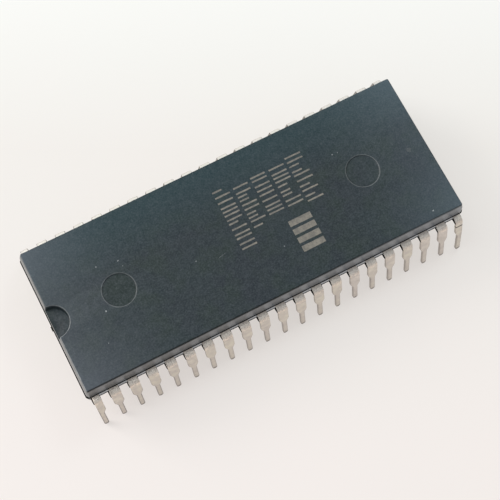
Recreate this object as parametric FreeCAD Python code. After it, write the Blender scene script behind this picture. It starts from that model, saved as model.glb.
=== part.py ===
import FreeCAD, Part
import math
import os

# A plastic dual in-line memory chip with two rows of leads, all sizes in millimetres.
# The origin is under the middle of the body, on the surface that the lead tips stand on.
# +X runs along the body, away from the end with the notch. +Y points to the far row of leads.
# Lead 1 is at the notch end of the near row, and the numbers run round the chip from there.

# Moulded body, measured at the parting line
end_margin = 0.72            # from the middle of a row's last lead to the end of the body
body_width = 13.9
top_half_height = 1.78       # from the top of the lead frame to the top face
bottom_half_height = 1.4     # from the underside of the lead frame to the underside
side_draft_angle = 6.5       # degrees, on the long walls
end_draft_angle = 11.5       # degrees, on the end walls
parting_corner_radius = 0.3  # upright corners at the parting line
face_corner_radius = 0.15    # the same corners at the top face and the underside
ledge_reach = 0.14           # thin resin web left between the leads when the frame is trimmed

# Half-round notch that marks the end with lead 1
notch_radius = 1.46
notch_depth = 0.7
notch_draft_angle = 5.0

# Round marks of the pins that push the body out of its mould
ejector_inset = 6.62         # from the end of the body to the middle of a mark
ejector_rim_radius = 1.55
ejector_depth = 0.07
ejector_bevel = 0.09         # how far the sloping rim runs in

# Stamped and formed lead frame
leads_per_row = 21
lead_pitch = 1.778
lead_thickness = 0.25
shoulder_width = 0.93
leg_width = 0.45
anchor_depth = 0.7           # how far the full shoulder width reaches into the resin
stub_length = 0.27           # flat part between the resin and the bend
bend_inner_radius = 0.25
splay_angle = 11.0           # degrees that the legs lean out from upright
lead_drop = 4.85             # from the top of the lead frame down to the lead tips
shoulder_drop = 1.82         # from the top of the lead frame to where the shoulder narrows
taper_drop = 2.46            # and to where it has become the narrow leg
tip_width = 0.24
tip_bevel_height = 0.34

# Leads that have been knocked out of line: extra splay in degrees, sideways lean of the tip
bent_leads = {1: (1.0, 0.0), 20: (1.1, 0.0), 21: (3.0, -0.15)}

# Silicon die and the glue that holds it
die_length = 9.0
die_width = 4.6
die_height = 0.3
glue_height = 0.03
glue_margin = 0.08           # how far the glue is squeezed out round the die

# Die paddle with its two tie bars, set down below the fingers
paddle_end_margin = 0.4      # paddle beyond the ends of the die
paddle_side_margin = 0.3     # and beyond its long sides
paddle_downset = 0.25
downset_run = 0.6            # length of the sloping piece of a tie bar
downset_distance = 1.6       # flat piece of tie bar between the paddle and the slope
tie_bar_width = 0.4

# Inner fingers, which fan in from the walls to the die
side_fingers = 11            # fingers of a row that face a long side of the die
finger_width = 0.42          # at the wall end
finger_tip_width = 0.27
finger_knee_depth = 1.0      # from the parting line at the wall to where a finger turns
finger_gap = 0.35            # between the finger tips and the edge of the paddle
tie_bar_gap = 0.22           # between a tie bar and the fingers beside it

# Bond wires
wire_size = 0.033
loop_height = 0.22           # top of the loop above the die
pad_inset = 0.12             # bond pad to the edge of the die
pad_spread = 0.88            # pitch of the pads as a share of the pitch of the finger tips
stitch_inset = 0.18          # end of a finger to the place where its wire lands

# Heights and half sizes that follow from the values above
last_offset = (leads_per_row - 1) / 2
body_length = 2 * (last_offset * lead_pitch + end_margin)
half_length = body_length / 2
half_width = body_width / 2
frame_top = lead_drop
frame_bottom = frame_top - lead_thickness
top_face = frame_top + top_half_height
underside = frame_bottom - bottom_half_height
bend_outer_radius = bend_inner_radius + lead_thickness
bend_start = half_width + stub_length
paddle_length = die_length + 2 * paddle_end_margin
paddle_width = die_width + 2 * paddle_side_margin
paddle_top = frame_top - paddle_downset
glue_top = paddle_top + glue_height
die_top = glue_top + die_height
last_side_offset = (side_fingers - 1) / 2
side_finger_pitch = paddle_length / side_fingers
end_fingers = (leads_per_row - side_fingers) // 2
end_finger_first = (tie_bar_width + finger_tip_width) / 2 + tie_bar_gap
end_finger_pitch = (paddle_width / 2 - end_finger_first) / (end_fingers - 1)
cut_margin = 0.2             # how far a cutting tool runs on past the face it opens


def tan_deg(angle):
    return math.tan(math.radians(angle))


def face_of(points):
    wire = Part.makePolygon(points + [points[0]])
    return Part.Face(wire)


def plate(outline, low, thickness):
    # flat piece with the given plan outline
    points = [FreeCAD.Vector(x, y, low) for x, y in outline]
    return face_of(points).extrude(FreeCAD.Vector(0, 0, thickness))


def strip_outline(path, half_widths):
    # outline of a strip that follows a path, with mitred corners and a width for each point
    left = []
    right = []
    for i, (x, y) in enumerate(path):
        before = path[max(i - 1, 0)], path[max(i, 1)]
        after = path[min(i, len(path) - 2)], path[min(i + 1, len(path) - 1)]
        normals = []
        for (x0, y0), (x1, y1) in (before, after):
            run = math.hypot(x1 - x0, y1 - y0)
            normals.append((-(y1 - y0) / run, (x1 - x0) / run))
        mitre_x = normals[0][0] + normals[1][0]
        mitre_y = normals[0][1] + normals[1][1]
        reach = mitre_x * normals[0][0] + mitre_y * normals[0][1]
        offset = half_widths[i] / reach
        left.append((x + mitre_x * offset, y + mitre_y * offset))
        right.append((x - mitre_x * offset, y - mitre_y * offset))
    return left + right[::-1]


def rounded_outline(length, width, radius, height):
    # closed wire of a rectangle with round corners, at one height
    corner_x = length / 2 - radius
    corner_y = width / 2 - radius
    diagonal = radius / math.sqrt(2)
    edges = []
    quarter_turns = [(1, 1), (-1, 1), (-1, -1), (1, -1)]
    arcs = []
    for i, (sx, sy) in enumerate(quarter_turns):
        centre = FreeCAD.Vector(sx * corner_x, sy * corner_y, height)
        along = FreeCAD.Vector(sx * radius, 0, 0)
        across = FreeCAD.Vector(0, sy * radius, 0)
        middle = centre + FreeCAD.Vector(sx * diagonal, sy * diagonal, 0)
        ends = [centre + along, centre + across]
        if i % 2:
            ends.reverse()
        arcs.append((ends[0], middle, ends[1]))
    for i, (start, middle, end) in enumerate(arcs):
        edges.append(Part.Arc(start, middle, end).toShape())
        following_start = arcs[(i + 1) % len(arcs)][0]
        edges.append(Part.LineSegment(end, following_start).toShape())
    return Part.Wire(edges)


def mould_half(parting_height, face_height):
    # half of the body, drafted from the parting line to its outer face
    rise = abs(face_height - parting_height)
    face_length = body_length - 2 * rise * tan_deg(end_draft_angle)
    face_width = body_width - 2 * rise * tan_deg(side_draft_angle)
    at_parting = rounded_outline(body_length, body_width, parting_corner_radius, parting_height)
    at_face = rounded_outline(face_length, face_width, face_corner_radius, face_height)
    return Part.makeLoft([at_parting, at_face], True, True)


def notch_cutter():
    top_edge = -half_length + top_half_height * tan_deg(end_draft_angle)
    slope = tan_deg(notch_draft_angle)
    floor_radius = notch_radius - notch_depth * slope
    mouth_radius = notch_radius + cut_margin * slope
    base = FreeCAD.Vector(top_edge, 0, top_face - notch_depth)
    return Part.makeCone(floor_radius, mouth_radius, notch_depth + cut_margin, base)


def ejector_cutters():
    # shallow dishes with a sloping rim, two in the top face and two in the underside
    slope = ejector_bevel / ejector_depth
    floor_radius = ejector_rim_radius - ejector_bevel
    mouth_radius = ejector_rim_radius + cut_margin * slope
    cutters = []
    for x in (ejector_inset - half_length, half_length - ejector_inset):
        for face, outward in ((top_face, 1), (underside, -1)):
            base = FreeCAD.Vector(x, 0, face - outward * ejector_depth)
            direction = FreeCAD.Vector(0, 0, outward)
            height = ejector_depth + cut_margin
            cutters.append(Part.makeCone(floor_radius, mouth_radius, height, base, direction))
    return cutters


def body_blank():
    # the moulding before anything is let into it
    parting = rounded_outline(body_length, body_width, parting_corner_radius, frame_bottom)
    band = Part.Face(parting).extrude(FreeCAD.Vector(0, 0, lead_thickness))
    ledge_width = body_width + 2 * ledge_reach
    ledge_length = 2 * last_offset * lead_pitch
    corner = FreeCAD.Vector(-ledge_length / 2, -ledge_width / 2, frame_bottom)
    ledge = Part.makeBox(ledge_length, ledge_width, lead_thickness, corner)
    upper = mould_half(frame_top, top_face)
    lower = mould_half(frame_bottom, underside)
    return band.fuse([ledge, upper, lower]).removeSplitter()


def shoulder_sides(offset):
    # the outer side of a row's end leads is flush with the leg, to stay on the body
    left = shoulder_width / 2
    right = shoulder_width / 2
    if offset == -last_offset:
        left = leg_width / 2
    if offset == last_offset:
        right = leg_width / 2
    return left, right


def finger_path(offset):
    # plan of an inner finger, from its anchor to its tip, in a row whose wall is at +Y
    x = offset * lead_pitch
    side = math.copysign(1, offset)
    start = (x, half_width - anchor_depth)
    knee = (x, half_width - finger_knee_depth)
    if abs(offset) <= last_side_offset:
        tip = (offset * side_finger_pitch, paddle_width / 2 + finger_gap)
    else:
        row_up = end_finger_first + (last_offset - abs(offset)) * end_finger_pitch
        tip = (side * (paddle_length / 2 + finger_gap), row_up)
    return [start, knee, tip]


def lead_flat_part(offset):
    # what is still flat after forming: the inner finger, the anchor and the stub
    left, right = shoulder_sides(offset)
    x = offset * lead_pitch
    inner = half_width - anchor_depth
    anchor_outline = [(x - left, inner), (x + right, inner), (x + right, bend_start), (x - left, bend_start)]
    anchor = plate(anchor_outline, frame_bottom, lead_thickness)
    half_widths = [finger_width / 2, finger_width / 2, finger_tip_width / 2]
    finger = plate(strip_outline(finger_path(offset), half_widths), frame_bottom, lead_thickness)
    return anchor.fuse(finger)


def bend_profile(splay):
    # side view of the bend and the leg, as a face in the plane across the body
    turn = math.radians(90 - splay)
    centre_z = frame_top - bend_outer_radius

    def on_arc(radius, angle):
        y = bend_start + radius * math.sin(angle)
        return FreeCAD.Vector(0, y, centre_z + radius * math.cos(angle))

    nominal_turn = math.radians(90 - splay_angle)
    nominal_fall = centre_z + bend_inner_radius * math.cos(nominal_turn)
    leg_length = nominal_fall / math.sin(nominal_turn)
    along_leg = FreeCAD.Vector(0, math.cos(turn), -math.sin(turn)) * leg_length
    outer_arc = [on_arc(bend_outer_radius, share * turn) for share in (0, 0.5, 1)]
    inner_arc = [on_arc(bend_inner_radius, share * turn) for share in (1, 0.5, 0)]
    outer_tip = outer_arc[2] + along_leg
    inner_tip = inner_arc[0] + along_leg
    edges = [
        Part.Arc(*outer_arc).toShape(),
        Part.LineSegment(outer_arc[2], outer_tip).toShape(),
        Part.LineSegment(outer_tip, inner_tip).toShape(),
        Part.LineSegment(inner_tip, inner_arc[0]).toShape(),
        Part.Arc(*inner_arc).toShape(),
        Part.LineSegment(inner_arc[2], outer_arc[0]).toShape(),
    ]
    return Part.Face(Part.Wire(edges))


def leg_outline(offset, lean):
    # front view of the formed part: shoulder, taper, leg and bevelled tip
    left, right = shoulder_sides(offset)
    x = offset * lead_pitch
    leg = leg_width / 2
    tip = tip_width / 2
    levels = [
        (frame_top, left, right),
        (frame_top - shoulder_drop, left, right),
        (frame_top - taper_drop, leg, leg),
        (tip_bevel_height, leg, leg),
        (0, tip, tip),
    ]

    def shifted(height):
        below_bend = max(frame_top - shoulder_drop - height, 0)
        return x + lean * below_bend / (frame_top - shoulder_drop)

    down = [(shifted(z) - out, z) for z, out, _ in levels]
    up = [(shifted(z) + out, z) for z, _, out in reversed(levels)]
    return down + up


def lead_formed_part(offset, splay, lean):
    # the side view swept along the row, trimmed by the front view
    span = shoulder_width + 2 * abs(lean)
    profile = bend_profile(splay)
    profile.translate(FreeCAD.Vector(offset * lead_pitch - span, 0, 0))
    sheet = profile.extrude(FreeCAD.Vector(2 * span, 0, 0))
    points = [FreeCAD.Vector(x, bend_start, z) for x, z in leg_outline(offset, lean)]
    reach = lead_drop
    trimmer = face_of(points).extrude(FreeCAD.Vector(0, reach, 0))
    return sheet.common(trimmer)


def make_lead(offset, splay, lean, row_side):
    flat = lead_flat_part(offset)
    formed = lead_formed_part(offset, splay, lean)
    lead = flat.fuse(formed).removeSplitter()
    if row_side < 0:
        lead = lead.mirror(FreeCAD.Vector(0, 0, 0), FreeCAD.Vector(0, 1, 0))
    return lead


def all_leads():
    leads = {}
    for place in range(leads_per_row):
        for row_side, name in ((-1, place + 1), (1, 2 * leads_per_row - place)):
            extra_splay, lean = bent_leads.get(name, (0.0, 0.0))
            offset = place - last_offset
            leads[name] = make_lead(offset, splay_angle + extra_splay, lean, row_side)
    return leads


def tie_bar(side):
    # side view: level with the leads at the wall, then down to the paddle
    wall = half_length
    slope_end = paddle_length / 2 + downset_distance
    slope_start = slope_end + downset_run
    low = frame_bottom - paddle_downset
    upper = [(wall, frame_bottom), (slope_start, frame_bottom), (slope_end, low), (0, low)]
    lower = [(x, z + lead_thickness) for x, z in reversed(upper)]
    points = [FreeCAD.Vector(side * x, -tie_bar_width / 2, z) for x, z in upper + lower]
    return face_of(points).extrude(FreeCAD.Vector(0, tie_bar_width, 0))


def centred_box(length, width, low, height):
    corner = FreeCAD.Vector(-length / 2, -width / 2, low)
    return Part.makeBox(length, width, height, corner)


def die_paddle():
    pad = centred_box(paddle_length, paddle_width, paddle_top - lead_thickness, lead_thickness)
    return pad.fuse([tie_bar(1), tie_bar(-1)]).removeSplitter()


def die_glue():
    length = die_length + 2 * glue_margin
    width = die_width + 2 * glue_margin
    return centred_box(length, width, paddle_top, glue_height)


def silicon_die():
    return centred_box(die_length, die_width, glue_top, die_height)


def bond_ends(offset):
    # bond pad on the die and landing place on the finger, in a row whose wall is at +Y
    (knee_x, knee_y), (tip_x, tip_y) = finger_path(offset)[-2:]
    back = stitch_inset / math.hypot(knee_x - tip_x, knee_y - tip_y)
    landing = (tip_x + (knee_x - tip_x) * back, tip_y + (knee_y - tip_y) * back)
    if abs(offset) <= last_side_offset:
        pad = (tip_x * pad_spread, die_width / 2 - pad_inset)
    else:
        side = math.copysign(1, offset)
        pad = (side * (die_length / 2 - pad_inset), tip_y * pad_spread)
    return pad, landing


def bond_wire(offset, row_side):
    # the side view of the loop, a thin band, given the thickness of the wire
    (pad_x, pad_y), (landing_x, landing_y) = bond_ends(offset)
    span = math.hypot(landing_x - pad_x, landing_y - pad_y)
    along = FreeCAD.Vector((landing_x - pad_x) / span, (landing_y - pad_y) / span, 0)
    across = FreeCAD.Vector(-along.y, along.x, 0)
    peak = die_top + loop_height
    path = [(0, die_top), (0, peak), (span, frame_top)]
    outline = strip_outline(path, [wire_size / 2] * len(path))
    fall = (peak - frame_top) / span
    near_face = FreeCAD.Vector(pad_x, pad_y, 0) - across * (wire_size / 2)
    points = []
    for distance, height in outline:
        # the two corners at the far end slide along the wire until they lie on the finger
        if distance > span / 2:
            distance += (height - frame_top) / fall
            height = frame_top
        points.append(near_face + along * distance + FreeCAD.Vector(0, 0, height))
    wire = face_of(points).extrude(across * wire_size)
    if row_side < 0:
        wire = wire.mirror(FreeCAD.Vector(0, 0, 0), FreeCAD.Vector(0, 1, 0))
    return wire


def bond_wires():
    wires = []
    for place in range(leads_per_row):
        for row_side in (1, -1):
            wires.append(bond_wire(place - last_offset, row_side))
    return wires


def chip_body(inner_solids):
    blank = body_blank()
    shaped = blank.cut([notch_cutter()] + ejector_cutters())
    return shaped.cut(inner_solids)


def save(name, shape):
    shape.exportStep("parts/" + name + ".step")
    print(name, "solids", len(shape.Solids), "valid", shape.isValid(), "volume", round(shape.Volume, 3))


os.makedirs("parts", exist_ok=True)
leads = all_leads()
paddle = die_paddle()
glue = die_glue()
die = silicon_die()
wires = bond_wires()
body = chip_body(list(leads.values()) + [paddle, glue, die] + wires)

save("body", body)
save("die_paddle", paddle)
save("die_glue", glue)
save("die", die)
save("bond_wires", Part.makeCompound(wires))
for name, lead in sorted(leads.items()):
    save("lead_%02d" % name, lead)
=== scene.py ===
from collections import namedtuple
from math import atan2, copysign, cos, hypot, pi, radians, sin, sqrt, tan
from random import Random
import bmesh
import bpy
from mathutils import Matrix, Vector


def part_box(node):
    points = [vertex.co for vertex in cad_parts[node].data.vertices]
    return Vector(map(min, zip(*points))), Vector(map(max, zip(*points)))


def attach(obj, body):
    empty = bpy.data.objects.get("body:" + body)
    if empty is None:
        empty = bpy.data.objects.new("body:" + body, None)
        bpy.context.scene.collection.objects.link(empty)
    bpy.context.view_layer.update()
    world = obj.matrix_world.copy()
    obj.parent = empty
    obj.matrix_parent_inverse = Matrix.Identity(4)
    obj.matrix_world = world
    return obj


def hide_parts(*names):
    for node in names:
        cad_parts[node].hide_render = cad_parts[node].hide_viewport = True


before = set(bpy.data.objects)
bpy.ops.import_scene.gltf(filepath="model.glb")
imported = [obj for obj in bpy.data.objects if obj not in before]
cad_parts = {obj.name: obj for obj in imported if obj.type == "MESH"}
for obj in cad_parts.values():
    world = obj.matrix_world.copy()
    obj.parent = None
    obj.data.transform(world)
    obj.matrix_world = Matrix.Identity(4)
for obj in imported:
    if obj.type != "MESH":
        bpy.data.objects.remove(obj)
scene = bpy.context.scene
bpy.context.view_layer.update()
print("frame loaded with", len(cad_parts), "nodes")

mm = 0.001  # the dictionaries below hold millimetres and degrees
hair = 0.001  # a distance in millimetres that is too small to see


def boxInMm(nodeName):
    low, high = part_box(nodeName)
    return Vector(low) / mm, Vector(high) / mm


bodyLow, bodyHigh = boxInMm("body")
frameTop = boxInMm("lead_07")[1].z
paddleHigh = boxInMm("die_paddle")[1]
dieHigh = boxInMm("die")[1]


# small helpers for numbers and meshes

levelFace = 0.99999  # a face whose normal is this upright is shaded flat


def ramp(value, start, end, low=0.0, high=1.0):
    # goes from low to high while the value goes from start to end
    share = min(max((value - start) / (end - start), 0.0), 1.0)
    return low + (high - low) * share


def slopeOf(draft):
    return tan(radians(draft))


def onCircle(centreX, centreY, radius, angle):
    return centreX + radius * cos(angle), centreY + radius * sin(angle)


def quarterArc(centreX, centreY, radius, startAngle, steps):
    points = []
    for i in range(steps + 1):
        angle = startAngle + pi / 2 * i / steps
        points.append(onCircle(centreX, centreY, radius, angle))
    return points


def newMesh(*marks):
    # each point can carry the marks, which the materials read
    bm = bmesh.new()
    for mark in marks:
        bm.verts.layers.float.new(mark)
    return bm


def addVert(bm, place, **marks):
    vert = bm.verts.new(place)
    for mark, value in marks.items():
        vert[bm.verts.layers.float[mark]] = value
    return vert


def joinLoops(bm, lower, upper):
    # faces between two closed loops; points that both share give triangles
    count = len(lower)
    for k in range(count):
        following = (k + 1) % count
        corners = [lower[k], lower[following], upper[following], upper[k]]
        corners = [corner for i, corner in enumerate(corners) if corner not in corners[:i]]
        if len(corners) > 2:
            bm.faces.new(corners)


def addSweep(bm, loops):
    # a closed solid through the loops, with a face at each end
    bm.faces.new(loops[0])
    for lower, upper in zip(loops, loops[1:]):
        joinLoops(bm, lower, upper)
    bm.faces.new(loops[-1])


def loopEdges(bm, loop):
    edges = []
    for k in range(len(loop)):
        pair = (loop[k - 1], loop[k])
        edges.append(bm.edges.get(pair) or bm.edges.new(pair))
    return edges


def addObject(name, data):
    thing = bpy.data.objects.new(name, data)
    scene.collection.objects.link(thing)
    return thing


def addMesh(name, bm, material):
    # the only place where millimetres become metres in a mesh
    mesh = bpy.data.meshes.new(name)
    bm.to_mesh(mesh)
    bm.free()
    mesh.transform(Matrix.Scale(mm, 4))
    mesh.materials.append(material)
    return addObject(name, mesh)


def finishPiece(name, bm, material, weightNormals=True):
    bmesh.ops.recalc_face_normals(bm, faces=bm.faces)
    for face in bm.faces:
        face.smooth = abs(face.normal.z) < levelFace
    piece = addMesh(name, bm, material)
    if weightNormals:
        piece.modifiers.new("evenShading", "WEIGHTED_NORMAL")
    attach(piece, "root")
    return piece


# small helpers for materials; a node or socket leads to the tree that it belongs to

def setSocket(socket, value):
    # another node's output is linked, and anything else is a fixed value
    if isinstance(value, bpy.types.NodeSocket):
        socket.id_data.links.new(value, socket)
    elif socket.type == "RGBA":
        socket.default_value = (*value, 1.0)
    else:
        socket.default_value = value


def setInputs(node, **inputs):
    for name, value in inputs.items():
        setSocket(node.inputs[name.replace("_", " ")], value)


def addNode(near, kind, settings=None, **inputs):
    node = near.id_data.nodes.new("ShaderNode" + kind)
    for key, value in (settings or {}).items():
        setattr(node, key, value)
    setInputs(node, **inputs)
    return node


def newMaterial(name, **inputs):
    material = bpy.data.materials.new(name)
    material.use_nodes = True
    shader = material.node_tree.nodes["Principled BSDF"]
    setInputs(shader, **inputs)
    return material, shader, addNode(shader, "TexCoord").outputs["Object"]


def axesInMm(place):
    scaled = addNode(place, "VectorMath", {"operation": "SCALE"}, Vector=place, Scale=1 / mm)
    return list(addNode(place, "SeparateXYZ", Vector=scaled.outputs["Vector"]).outputs)


def stretch(place, scale):
    return addNode(place, "Mapping", Vector=place, Scale=scale).outputs["Vector"]


def readMark(near, mark):
    return addNode(near, "Attribute", {"attribute_name": mark}).outputs["Fac"]


def maths(operation, first, *others):
    # more than two values are worked through from left to right
    result = first
    for other in others:
        node = addNode(first, "Math", {"operation": operation})
        setSocket(node.inputs[0], result)
        setSocket(node.inputs[1], other)
        result = node.outputs["Value"]
    return result


def times(*values):
    return maths("MULTIPLY", *values)


def awayFrom(value, centre=0.0):
    # the distance from the centre, to either side of it
    offset = maths("SUBTRACT", value, centre)
    return addNode(value, "Math", {"operation": "ABSOLUTE"}, Value=offset).outputs["Value"]


def remap(value, start=0.0, end=1.0, low=0.0, high=1.0):
    # the same as ramp, for a value that differs from point to point
    node = addNode(
        value, "MapRange", Value=value, From_Min=start, From_Max=end, To_Min=low, To_Max=high)
    return node.outputs["Result"]


def noise(place, size, detail=3.0, roughness=0.55):
    # size is the rough width of one blotch
    node = addNode(
        place, "TexNoise", Vector=place, Scale=1 / (size * mm), Detail=detail,
        Roughness=roughness)
    return node.outputs["Fac"]


def blotches(place, size, start, end, low=0.0, high=1.0, detail=3.0, roughness=0.55):
    # noise, with start and end saying where its soft edges lie
    return remap(noise(place, size, detail, roughness), start, end, low, high)


def blend(share, first, second):
    node = addNode(share, "Mix", {"data_type": "RGBA"}, Factor=share)
    colours = [socket for socket in node.inputs if socket.type == "RGBA"]
    setSocket(colours[0], first)
    setSocket(colours[1], second)
    return next(socket for socket in node.outputs if socket.type == "RGBA")


def layCoats(ground, coats):
    # each coat covers what lies under it by its share
    colour = ground
    for share, coat in coats:
        colour = blend(share, colour, coat)
    return colour


def bump(shader, height, depth, strength):
    # depth is the height of the relief
    node = addNode(shader, "Bump", Height=height, Distance=depth * mm, Strength=strength)
    setInputs(shader, Normal=node.outputs["Normal"])


# the moulded body

mould = dict(
    sideDraft=6.5,
    endDraft=11.5,
    ledgeReach=0.14,  # resin web left between the leads
    partingCorner=0.3,  # radius of the upright corners at the parting line
    faceCorner=0.15,  # and at the top face and the underside
    leastCorner=0.04,  # and the least that the rounding of the rims leaves of it
    cornerSteps=6,
    rimRadius=0.09,  # rounding all round both faces
    rimSteps=6,
    darkReach=0.16,  # the painted shade of the dark rim runs this far down the wall
    darkFade=0.02,  # and ends within this
    wallAtRim=0.5,  # share of the wall's finish and painted reflection that is left on the painted rim shade
    printRoom=0.01,  # the top face stays this far under the CAD box, for the print
    # the parting band, from its foot: rise, inset of the ends, inset of the sides, grime and
    # painted shade
    band=[
        (0.005, 0.1, 0.04, 0.9), (0.015, 0.075, 0.01, 0.9), (0.235, 0.075, 0.01, 1.0),
        (0.249, 0.17, 0.02, 1.0),
    ],
    # where each half meets the band: rise, inset of the ends, inset of the sides, grime and
    # painted shade
    partingEdge=[
        (0.0, 0.175, 0.03, 1.0), (0.08, 0.16, 0.025, 1.0), (0.11, 0.15, 0.023, 0.0),
        (0.5, 0.07, 0.003, 0.0), (0.95, 0.0, 0.0, 0.0),
    ],
)

notch = dict(
    radius=1.46,
    depth=0.7,
    draft=5.0,
    mouthFillet=0.09,
    floorFillet=0.09,
    floorStep=0.01,  # the wall has one more level this far under the notch
    filletSteps=4,
    arcSteps=36,
)

ejector = dict(
    inset=6.62,
    steps=72,
    # from its lip to its floor: radius, height over the face, wear and painted highlight
    profile=[
        (1.58, 0.0, 0.0), (1.56, 0.002, 0.2), (1.535, 0.006, 0.5), (1.51, 0.006, 0.55),
        (1.49, -0.004, 0.5), (1.47, -0.026, 0.1), (1.45, -0.05, 0.0), (1.43, -0.064, 0.0),
        (1.41, -0.07, 0.0),
    ],
    floorGrain={-1: 1.0, 1: 0.25},  # how rough the floor is, at the notch end and the other
    floorInset=0.03,
)

# the thin web of resin between two leads, broken off unevenly
web = dict(
    flashReach=0.165,  # with the thin flash along its edge, painted light as a highlight
    seed=7,
    stations=12,
    overlap=0.01,  # into the leads beside it
    edgeLoss=0.02,  # its edge and its top wander by this
    topDrop=(0.012, 0.028),
    bottomRise=0.01,
    # section, out along the top and back along the bottom: 1 if the point goes with the broken
    # edge, how far out it lies, 1 for the top or 0 for the bottom, rise from there, flash with
    # its painted highlight, grime and painted shade
    section=[
        (0, -0.3, 1, 0.0, 0.0, 1.0), (0, 0.012, 1, 0.0, 0.0, 1.0), (0, 0.018, 1, 0.0, 1.0, 0.0),
        (1, -0.028, 1, -0.002, 1.0, 0.0), (1, -0.022, 1, -0.006, 0.0, 1.0),
        (1, 0.0, 1, -0.05, 0.0, 1.0), (1, 0.0, 0, 0.03, 0.0, 1.0),
        (1, -0.03, 0, 0.0, 0.0, 0.8), (0, -0.3, 0, 0.0, 0.0, 0.8),
    ],
)

# thin fins of resin along a lead's sides, out to where the dam bars stood
fins = dict(
    row=-1,  # only the near row has any
    seed=12,
    # side of the lead, width, length from the body
    sides=[(-1, 0.105, 0.85), (1, 0.03, 0.5)],
    lengths=(0.8, 1.1),  # both vary from lead to lead by these shares
    widths=(0.75, 1.1),
    raggedness=(0.85, 1.0),
    endLoss=0.5,  # a fin narrows by this share, mostly near its end
    narrowing=3,
    root=-0.02,
    rootHeights=(-0.1, 0.11),
    edgeHeights=(-0.09, 0.07),
)

lead = dict(
    leadsPerRow=21,
    pitch=1.778,
    thickness=0.25,
    shoulderWidth=0.93,
    legWidth=0.45,
    anchorDepth=0.7,
    stubLength=0.27,
    bendInnerRadius=0.25,
    splay=11.0,
    shoulderDrop=1.82,
    taperDrop=2.46,
    tipWidth=0.24,
    tipThickness=0.17,
    tipBevel=0.34,
    tipRoundness=0.72,  # 1 would be half an ellipse
    tipThinning=0.35,  # share of the tip that is still full thickness
    taperEase=0.35,  # share of soft curve in the shoulder's taper
    # knocked out of line: extra splay and sideways lean of the tip
    bent={1: (1.0, 0.0), 20: (1.1, 0.0), 21: (3.0, -0.15)},
    # inner fingers
    paddleEndMargin=0.4,
    sideFingers=11,
    fingerWidth=0.42,
    fingerTipWidth=0.27,
    fingerKneeDepth=1.0,
    fingerGap=0.35,
    tieBarWidth=0.4,
    tieBarGap=0.22,
    # finish of the stamped edges
    faceEdgeRadius=0.045,  # rolled over by the punch
    backEdgeRadius=0.02,
    edgeRoom=0.6,  # the roll takes at most this share of half a thin tip
    edgeWidth=0.105,  # the strip of painted shade along both edges of a leg
    edgeSteps=3,
    bendSteps=14,
    trimStart=0.33,  # where the dam bars were cut away, measured from the body
    trimEnd=0.72,
    trimBurr=0.025,
    burrRange=(0.3, 1.0),
    # where the mesh has rings: inside the wall, shares of the leg, shares of the taper,
    # distances above the tip's rounding, shares of the tip
    wallRing=-0.02,
    legRings=(0.12, 0.24),
    taperRings=(-0.06, 0.0, 0.08, 0.25, 0.5, 0.75, 0.92, 1.0, 1.06),
    endRings=(1.2, 0.5, 0.05),
    tipRings=(0.0, 0.08, 0.3, 0.55, 0.78, 0.93, 1.0),
)

halfLength = bodyHigh.x
halfWidth = bodyHigh.y - mould["ledgeReach"]
frameBottom = frameTop - lead["thickness"]
topFace = bodyHigh.z - mould["printRoom"]
underside = bodyLow.z
endSlope = slopeOf(mould["endDraft"])
sideSlope = slopeOf(mould["sideDraft"])
notchSlope = slopeOf(notch["draft"])
notchCentre = -(halfLength - (bodyHigh.z - frameTop) * endSlope)
lastOffset = (lead["leadsPerRow"] - 1) / 2


def notchBite(wallX, radius):
    # plan of the notch, with both corners of its mouth rounded
    fillet = notch["mouthFillet"]
    filletX = wallX + fillet
    filletY = sqrt((radius + fillet) ** 2 - (filletX - notchCentre) ** 2)
    endTurn = atan2(-filletY, notchCentre - filletX) % (2 * pi)
    mouth = []
    for i in range(notch["filletSteps"] + 1):
        angle = pi + (endTurn - pi) * i / notch["filletSteps"]
        mouth.append(onCircle(filletX, filletY, fillet, angle))
    startAngle = atan2(filletY, filletX - notchCentre)
    arc = []
    for i in range(1, notch["arcSteps"]):
        angle = startAngle * (1 - 2 * i / notch["arcSteps"])
        arc.append(onCircle(notchCentre, 0.0, radius, angle))
    return mouth + arc + [(x, -y) for x, y in reversed(mouth)]


def bodyOutline(level, mouthHalf):
    # plan of the body at one level, and which of its points lie in the notch;
    # below the notch those points lie along the wall
    end = halfLength - level.endInset
    corner = level.corner
    insideX = end - corner
    insideY = halfWidth - level.sideInset - corner
    steps = mould["cornerSteps"]
    points = quarterArc(insideX, -insideY, corner, -pi / 2, steps)
    points += quarterArc(insideX, insideY, corner, 0, steps)
    points += quarterArc(-insideX, insideY, corner, pi / 2, steps)
    if level.bite:
        mouth = notchBite(-end, level.bite)
    else:
        last = 2 * notch["filletSteps"] + notch["arcSteps"]
        mouth = [(-end, mouthHalf * (1 - 2 * i / last)) for i in range(last + 1)]
    inMouth = range(len(points) + 1, len(points) + len(mouth) - 1)
    points += mouth
    points += quarterArc(-insideX, -insideY, corner, pi, steps)
    return points, inMouth


Level = namedtuple("Level", "z endInset sideInset corner bite marks")


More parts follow.
